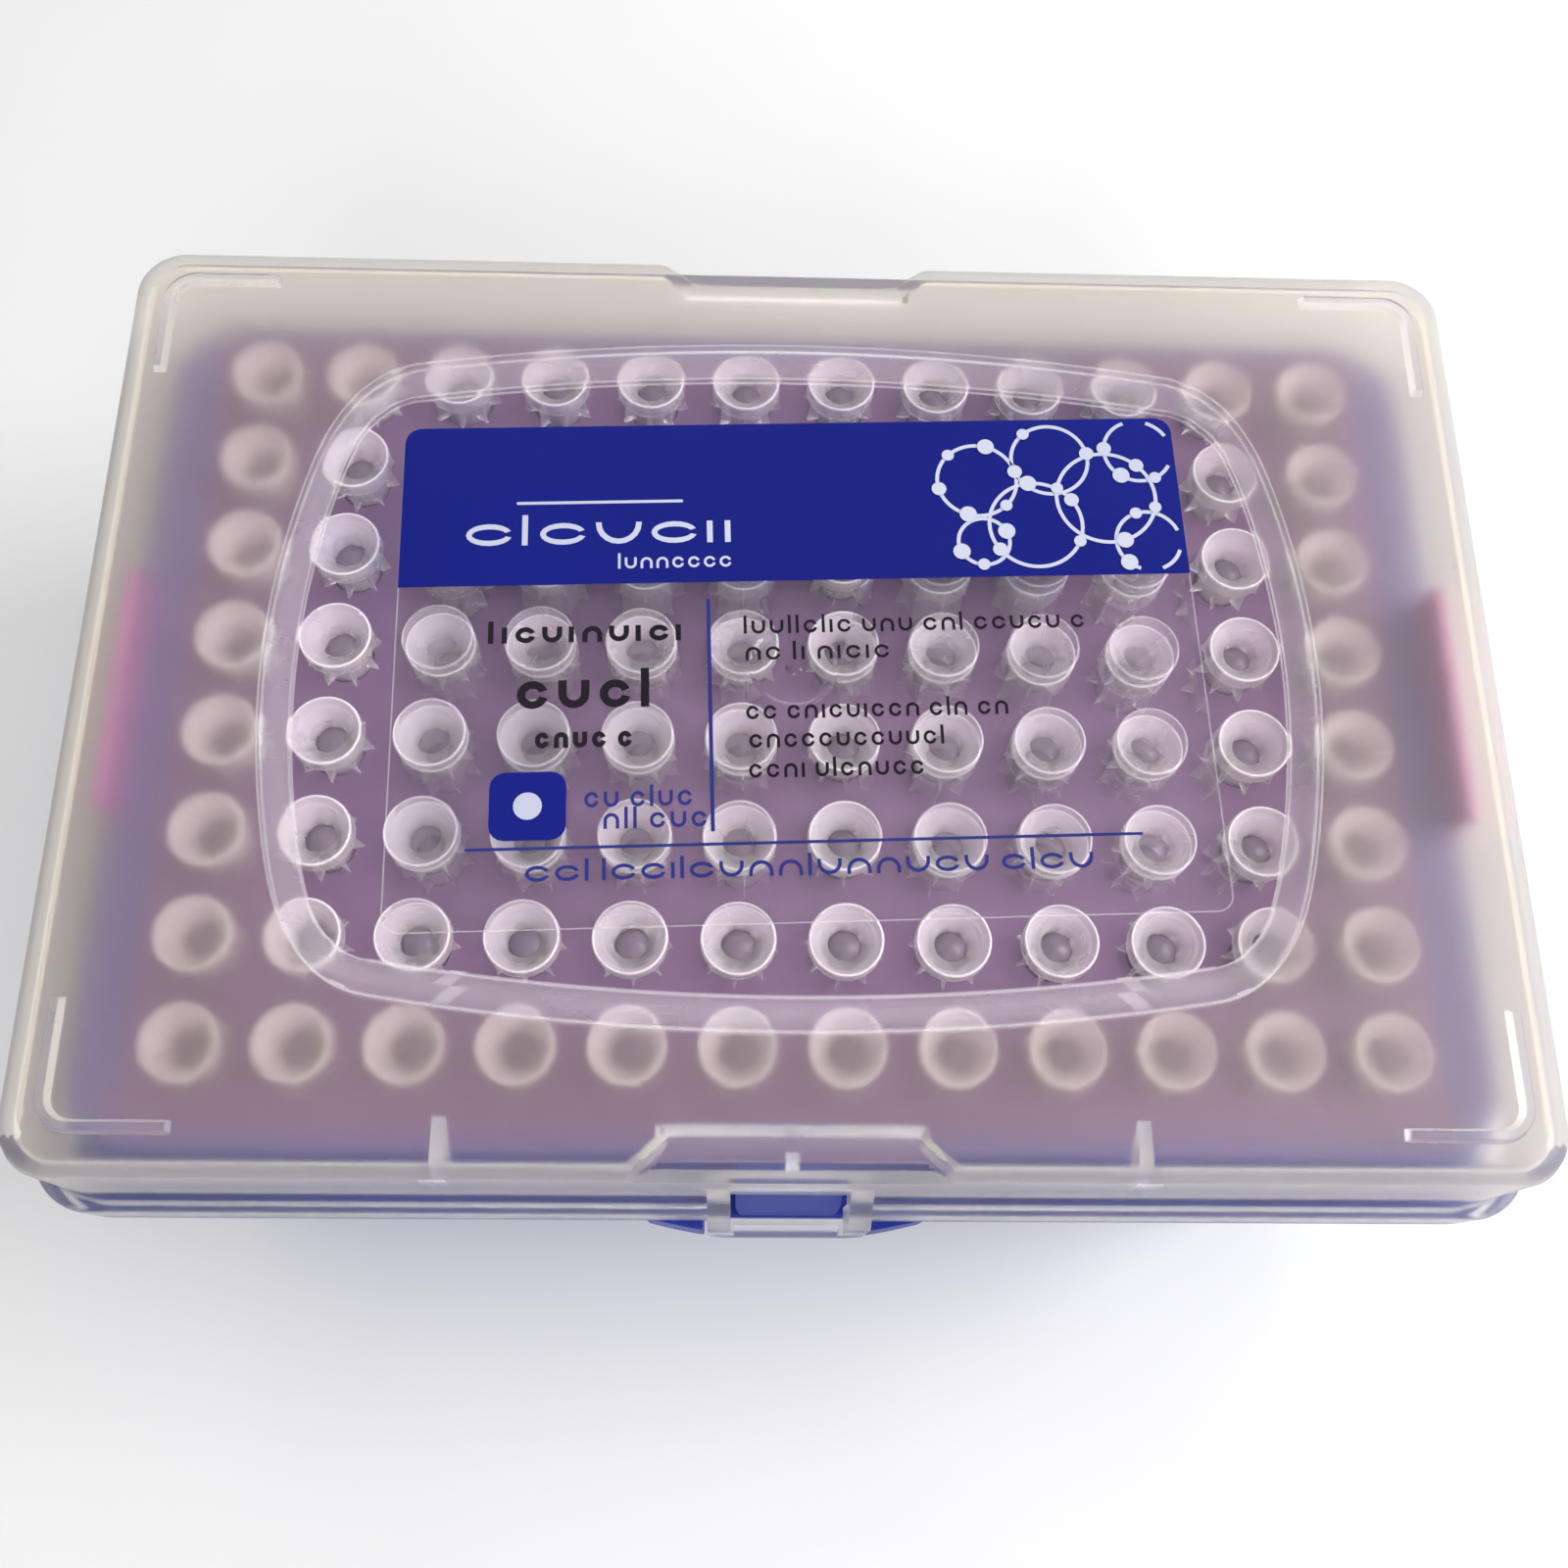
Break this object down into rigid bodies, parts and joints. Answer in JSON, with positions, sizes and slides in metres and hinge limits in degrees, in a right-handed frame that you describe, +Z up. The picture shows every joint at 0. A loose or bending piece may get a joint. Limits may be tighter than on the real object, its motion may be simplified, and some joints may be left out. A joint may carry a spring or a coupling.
{
  "type": "box of pipette tips",
  "caption": "Lidded laboratory rack of long pipette tips: opaque base, coloured tip wafer, frosted hinged lid with a sunk clear window, front latch and label film.",
  "frame": {"origin": "on the table, under the middle of the closed box", "axes": "+X to the right along the box's length, -Y towards the front latch, +Y towards the hinge, +Z up"},
  "size_m": [0.1268, 0.0908, 0.0568],
  "materials": {
    "blue_base": "fine moulded satin, opaque blue polypropylene",
    "magenta_wafer": "smooth, slightly translucent magenta polypropylene",
    "frosted_lid": "fine frost on natural polypropylene, with one polished clear window",
    "label_film": "clear glossy film with one solid printed band"
  },
  "bodies": {
    "rack": {"base": "blue_base", "tip_wafer": "magenta_wafer"},
    "cover": {"lid": "frosted_lid", "label": "label_film"}
  },
  "joints": [
    {"name": "lid_hinge", "type": "hinge", "parent": "rack", "child": "cover", "pos_m": [0, 0.0433, 0.0359], "axis": [-1, 0, 0], "range_deg": [0, 110]}
  ]
}
